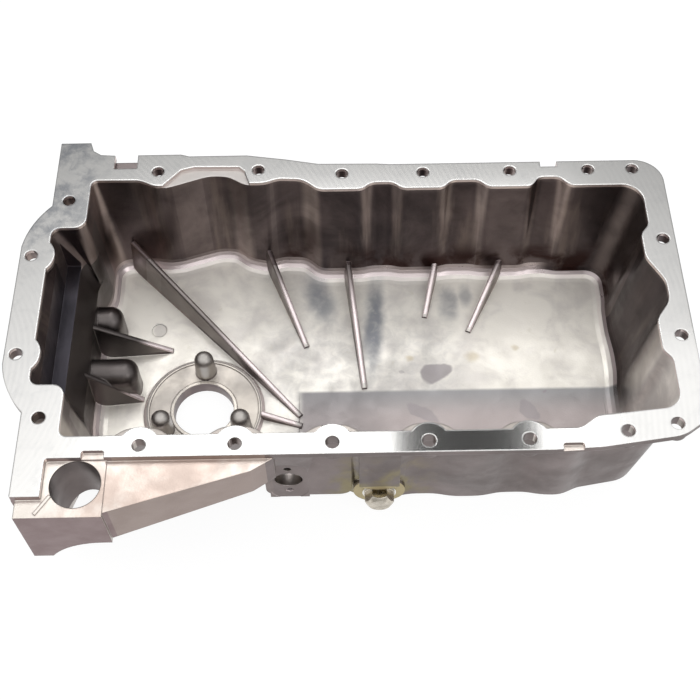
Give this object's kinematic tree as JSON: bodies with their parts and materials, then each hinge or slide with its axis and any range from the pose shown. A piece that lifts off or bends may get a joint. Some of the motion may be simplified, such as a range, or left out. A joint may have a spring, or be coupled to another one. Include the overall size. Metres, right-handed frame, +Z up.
{
  "type": "engine oil pan",
  "caption": "Cast aluminium engine oil pan with a machined gasket flange, ribbed sump, sender opening, return port and a screw-in drain plug with its sealing washer.",
  "frame": {"origin": "on the flat underside, below the middle of the gasket face", "axes": "+X along the crankshaft towards the timing end, +Y away from the drain side, +Z up through the mouth"},
  "size_m": [0.435, 0.2847, 0.1],
  "materials": {
    "cast_aluminium": "satin as-cast",
    "plug_steel": "turned, bare",
    "washer_aluminium": "bright soft"
  },
  "bodies": {
    "pan": {"pan_casting": "cast_aluminium"},
    "washer": {"plug_washer": "washer_aluminium"},
    "plug": {"drain_plug": "plug_steel"}
  },
  "joints": [
    {"name": "plug_travel", "type": "slide", "parent": "pan", "child": "washer", "axis": [0, -1, 0], "range_m": [0, 0.012]},
    {"name": "plug_turn", "type": "hinge", "parent": "washer", "child": "plug", "pos_m": [0.0176, -0.099, 0.02], "axis": [0, -1, 0], "range_deg": [0, 2880]}
  ],
  "couplings": [
    {"joint": "plug_turn", "follows": "plug_travel", "rad_per_m": 4188.8}
  ]
}
